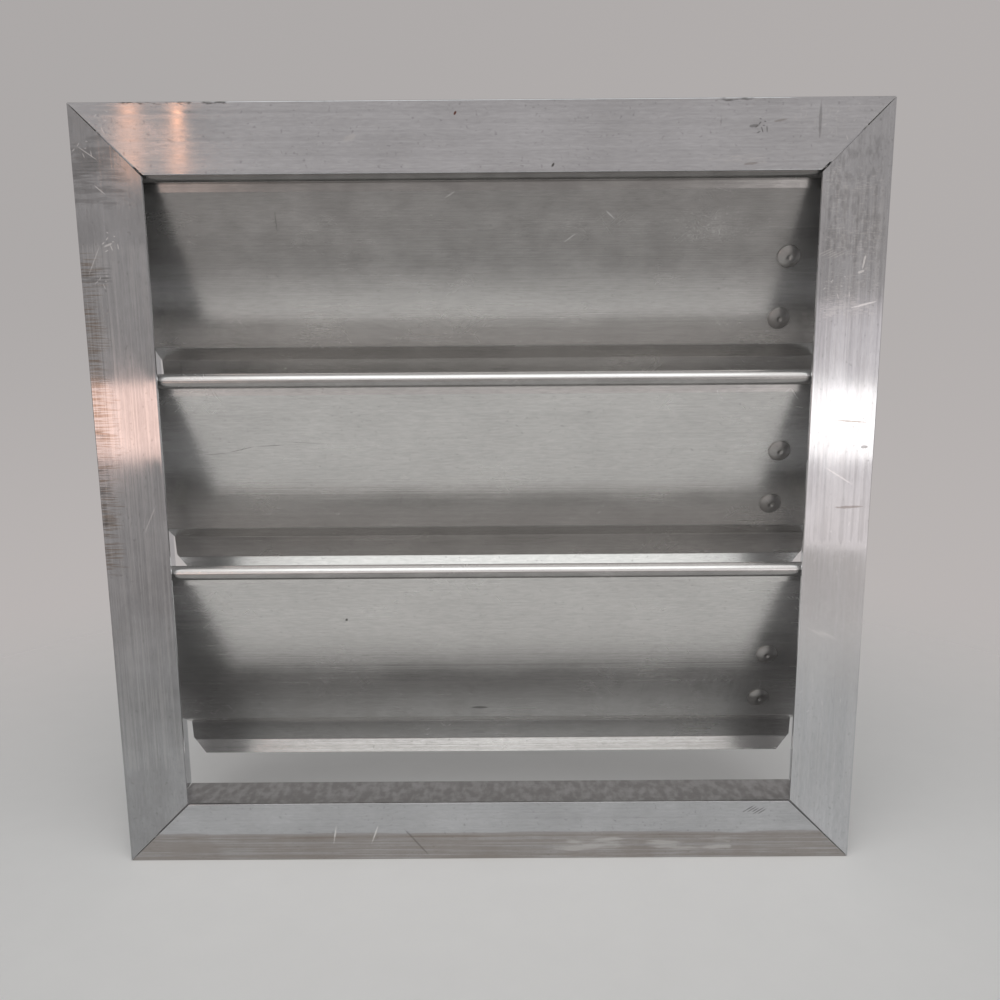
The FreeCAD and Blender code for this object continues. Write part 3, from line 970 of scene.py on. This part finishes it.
@dataclass
class BladeAssembly:
    """Folded blades with their rods and rivets."""

    colour: Colour = (0.66, 0.65, 0.635)
    roughness: float = 0.24
    line_depth: float = 5e-5
    # painted shade over the top blade's face
    top_face_painted_shade: float = 0.58
    # painted shade on each curl's front, and a painted highlight on its top
    curl: float = 0.5
    curl_painted_highlight: float = 0.95
    curl_reach: float = 3.6

    def sheet(self, which: str, marks: Marks) -> MetalFinish:
        """Describes one blade's finish: the curl has painted shade on its front below the hinge and a painted
        highlight above it.

        Args:
            which: Blade's place in the frame.
            marks: Marks on its face.

        Returns:
            The finish.
        """
        hinge = HINGE_HEIGHTS[f"{which}_blade_swing"]
        # painted shade on the curl's front below the hinge, and a painted highlight on its top above it
        curl_painted_light = (
            HeightBand(hinge - 3.4, hinge + 0.5, self.curl, 0.3),
            HeightBand(hinge + 0.3, hinge + self.curl_reach, self.curl_painted_highlight, 0.3, Tone.BRIGHT),
        )
        return MetalFinish(
            f"sheet_{which}",
            self.colour,
            self.roughness,
            line_depth=self.line_depth,
            line_pitch=0.0006,
            line_tone=0.2,
            mottle=0.26,
            scratches=0.35,
            marks=(*curl_painted_light, *marks),
            metallic=0.9,
            fleck=0.36,
        )

    def top_marks(self) -> Marks:
        """Lists the painted shade and the marks on the top blade.

        Returns:
            Marks in millimetres.
        """
        return (
            # painted shade over the face and curl, fading out above the lip
            HeightBand(76.0, 190.0, self.top_face_painted_shade, 26.0),
            # rubbed areas, then single scratches
            Patch(60.0, 130.0, 98.0, 130.0, Tone.PALE, Grain.ALONG_Z, 0.5, 0.9, 0.4, 14.0, 0.3),
            Patch(0.0, 80.0, 98.0, 128.0, Tone.PALE, Grain.ALONG_X, 0.4, 1.2, 0.36, 14.0, 0.3),
            *flecks(96.0, 114.0, 5.0, 5, Tone.PALE, 0.5),
            Mark(51.4, 117.3, 3.0, 0.35, Tone.PALE, -40.0, 0.5),
            Mark(35.5, 108.8, 3.6, 0.3, Tone.PALE, 35.0, 0.5),
            Mark(-13.1, 125.2, 3.0, 0.3, Tone.PALE, 30.0, 0.5),
            Mark(-84.0, 116.0, 5.0, 0.3, Tone.DARK, 90.0, 0.5),
        )

    def middle_marks(self) -> Marks:
        """Lists the marks on the middle blade: one long thin scratch in pieces, and painted shade toward its
        foot.

        Returns:
            Marks in millimetres.
        """
        return (
            Mark(-116.0, 20.2, 6.0, 0.22, Tone.DARK, 4.0, 0.4),
            Mark(-104.5, 22.2, 6.5, 0.22, Tone.DARK, 13.0, 0.5),
            Mark(-92.0, 23.8, 7.0, 0.22, Tone.DARK, 3.0, 0.5),
            Mark(-77.0, 25.0, 9.0, 0.2, Tone.DARK, -4.0, 0.35),
            # painted shade toward the foot
            HeightBand(-30.0, 10.0, 0.12, 18.0),
        )

    def bottom_marks(self) -> Marks:
        """Lists the marks on the bottom blade: two spots, painted shade toward its foot, and upright streaks
        there.

        Returns:
            Marks in millimetres.
        """
        return (
            Mark(-62.1, -53.5, 0.9, 0.6, Tone.DARK, 60.0, 0.9),
            Mark(-4.3, -103.5, 4.6, 0.8, Tone.DARK, 0.0, 0.6),
            # painted shade toward the foot
            HeightBand(-112.0, -56.0, 0.22, 24.0),
            Patch(40.0, 135.0, -112.0, -80.0, Tone.PALE, Grain.ALONG_Z, 2.4, 26.0, 0.5, 10.0, 0.3),
        )

    def assembly(self) -> SubAssembly:
        """Pairs the blades' nodes with their finishes.

        Returns:
            The blades' nodes and finishes.
        """
        rivet = MetalFinish(
            "rivet_satin",
            (0.37, 0.36, 0.35),
            0.36,
            line_depth=6e-6,
            line_tone=0.2,
            scratches=0.4,
            dents=3e-5,
            rounding=5e-4,
        )
        rod = MetalFinish("drawn_rod", (0.5, 0.5, 0.49), 0.3, scratches=0.1)
        nodes: dict[str, Finish] = {
            "blade_top": self.sheet("top", self.top_marks()),
            "blade_middle": self.sheet("middle", self.middle_marks()),
            "blade_bottom": self.sheet("bottom", self.bottom_marks()),
        }
        for which in BLADE_PLACES:
            nodes[f"blade_rivets_{which}"] = rivet
            nodes[f"pivot_rod_{which}"] = rod
        return SubAssembly("blades", nodes)


@dataclass
class LinkageAssembly:
    """Clips, pins and the tie bar behind the blades."""

    colour: Colour = (0.56, 0.56, 0.55)

    def assembly(self) -> SubAssembly:
        """Pairs the linkage's nodes with their finishes.

        Returns:
            The linkage's nodes and finishes.
        """
        sheet = MetalFinish("galvanised_sheet", self.colour, 0.4, Grain.ALONG_Z, line_tone=0.08, mottle=0.45)
        pin = MetalFinish("plated_pin", (0.5, 0.49, 0.46), 0.28, scratches=0.15)
        nodes: dict[str, Finish] = {"tie_bar": sheet}
        for which in BLADE_PLACES:
            nodes[f"link_clip_{which}"] = sheet
            nodes[f"link_pin_{which}"] = pin
        return SubAssembly("linkage", nodes)


@dataclass(frozen=True)
class Lamp:
    """Rectangular soft lamp that faces the damper."""

    name: str
    place: tuple[float, float, float]
    width: float
    height: float
    radiance: float
    colour: Colour = (1.0, 1.0, 1.0)

    def build(self) -> bpy.types.Object:
        """Adds the lamp to the scene.

        Returns:
            The lamp's object.
        """
        data = bpy.data.lights.new(self.name, "AREA")
        data.shape = "RECTANGLE"
        data.size = self.width
        data.size_y = self.height
        data.color = self.colour
        data.energy = self.radiance * math.pi * self.width * self.height
        lamp = bpy.data.objects.new(self.name, data)
        lamp.location = self.place
        lamp.rotation_mode = "QUATERNION"
        lamp.rotation_quaternion = (-Vector(self.place)).to_track_quat("-Z", "Y")
        bpy.context.scene.collection.objects.link(lamp)
        return lamp


@dataclass
class Studio:
    """Pale floor, soft lamps and a pale surround that darkens upward behind the damper."""

    floor_colour: Colour = (0.82, 0.81, 0.8)
    floor_half: float = 6.0
    floor_fade: tuple[float, float] = (0.22, 0.6)
    surround: Colour = (0.49, 0.46, 0.452)
    gloom: Colour = (0.415, 0.395, 0.39)
    gloom_loss: float = 0.4
    ambient_front: float = 1.3
    ambient_rear: float = 0.1

    def lamps(self) -> tuple[Lamp, ...]:
        """Lists the lamps: a large key above, a glow on either side, and two streaks on the left.

        Returns:
            The lamps.
        """
        orange = (1.0, 0.44, 0.22)
        return (
            Lamp("key", (0.0, -0.97, 1.272), 1.1, 1.04, radiance=0.92, colour=(0.94, 1.0, 1.0)),
            Lamp("right", (0.395, -0.69, -0.037), 0.2, 0.081, radiance=1.3, colour=(1.0, 0.97, 0.94)),
            Lamp("right_fill", (0.47, -0.83, -0.06), 0.3, 0.32, radiance=0.34, colour=(1.0, 0.92, 0.97)),
            Lamp("left", (-0.42, -0.69, -0.031), 0.2, 0.087, radiance=1.6, colour=(1.0, 0.66, 0.55)),
            Lamp("streak_wide", (-0.392, -0.69, 0.275), 0.013, 0.09, radiance=1.5, colour=orange),
            Lamp("streak_thin", (-0.34, -0.69, 0.275), 0.008, 0.09, radiance=2.2, colour=orange),
        )

    def floor(self) -> bpy.types.Object:
        """Adds the floor under the flange.

        Returns:
            The floor's object.
        """
        half = self.floor_half
        height = CAD_BOX[0][2]
        mesh = bpy.data.meshes.new("floor")
        corners = [(-half, -half, height), (half, -half, height), (half, half, height), (-half, half, height)]
        mesh.from_pydata(corners, [], [(0, 1, 2, 3)])
        floor = bpy.data.objects.new("floor", mesh)
        bpy.context.scene.collection.objects.link(floor)
        mesh.materials.append(FloorFinish("floor_matt", self.floor_colour, self.floor_fade).material())
        return floor

    def light(self, shader: Shader, direction: Signal) -> Signal:
        """Makes the light of the surround, which comes mostly from the front.

        Args:
            shader: World's shader.
            direction: Direction of the ray.

        Returns:
            Background shader.
        """
        ahead = shader.axis(direction, "Y").ramp(0.25, -0.75)
        strength = ahead * (self.ambient_front - self.ambient_rear) + self.ambient_rear
        sockets = {"Color": (1.0, 1.0, 1.0, 1.0), "Strength": strength}
        return shader.add("ShaderNodeBackground", {}, sockets)

    def backdrop(self, shader: Shader, direction: Signal) -> Signal:
        """Makes the surround that shows, darker behind the damper toward the top and the left.

        Args:
            shader: World's shader.
            direction: Direction of the ray.

        Returns:
            Background shader.
        """
        behind = shader.axis(direction, "Y").ramp(0.2, 0.6)
        high = shader.axis(direction, "Z").ramp(-0.32, 0.1)
        right = shader.axis(direction, "X").ramp(-0.5, 0.6)
        shade = behind * high * (1.0 - right * self.gloom_loss)
        shown = shader.mix(self.surround, self.gloom, shade)
        return shader.add("ShaderNodeBackground", {}, {"Color": shown, "Strength": 1.0})

    def world(self) -> None:
        """Shows the backdrop to the eye and in metal, and lights everything else."""
        shader = Shader(bpy.data.worlds.new("surround"))
        seen, glossy, through = (
            shader.add("ShaderNodeLightPath", {}, {}, name)
            for name in ("Is Camera Ray", "Is Glossy Ray", "Is Transmission Ray")
        )
        direction = shader.add("ShaderNodeTexCoord", {}, {}, "Generated")
        light = self.light(shader, direction)
        backdrop = self.backdrop(shader, direction)
        mixed = shader.add("ShaderNodeMixShader", {}, {0: seen | glossy | through, 1: light, 2: backdrop})
        bpy.context.scene.world = shader.show("ShaderNodeOutputWorld", mixed)

    def build(self) -> None:
        """Builds the whole surround."""
        self.floor()
        self.world()
        for lamp in self.lamps():
            lamp.build()
        bpy.context.scene.view_settings.view_transform = "Standard"


@dataclass(frozen=True)
class Camera:
    """Camera at the photograph's place: its tilt from straight down, roll and turn are in degrees."""

    place: tuple[float, float, float] = (0.00679, -0.38543, 0.07377)
    tilt: float = 79.468
    roll: float = 0.4185
    turn: float = 0.0411
    lens: float = 33.84
    sensor: float = 36.0
    nearest: float = 0.01
    farthest: float = 100.0

    def build(self) -> bpy.types.Object:
        """Adds the camera and makes it the scene's own.

        Returns:
            The camera's object.
        """
        data = bpy.data.cameras.new("camera")
        data.lens = self.lens
        data.sensor_width = self.sensor
        data.clip_start = self.nearest
        data.clip_end = self.farthest
        camera = bpy.data.objects.new("camera", data)
        camera.location = self.place
        camera.rotation_euler = [math.radians(angle) for angle in (self.tilt, self.roll, self.turn)]
        bpy.context.scene.collection.objects.link(camera)
        bpy.context.scene.camera = camera
        return camera


def main() -> None:
    """Builds the looks in order and reports the pieces."""
    logging.basicConfig(level=logging.INFO)
    Studio().build()
    Camera().build()
    for builder in (FrameAssembly(), BladeAssembly(), LinkageAssembly()):
        group = builder.assembly()
        LOGGER.info("%s: %d nodes dressed", group.title, group.dress())


if __name__ == "__main__":
    main()
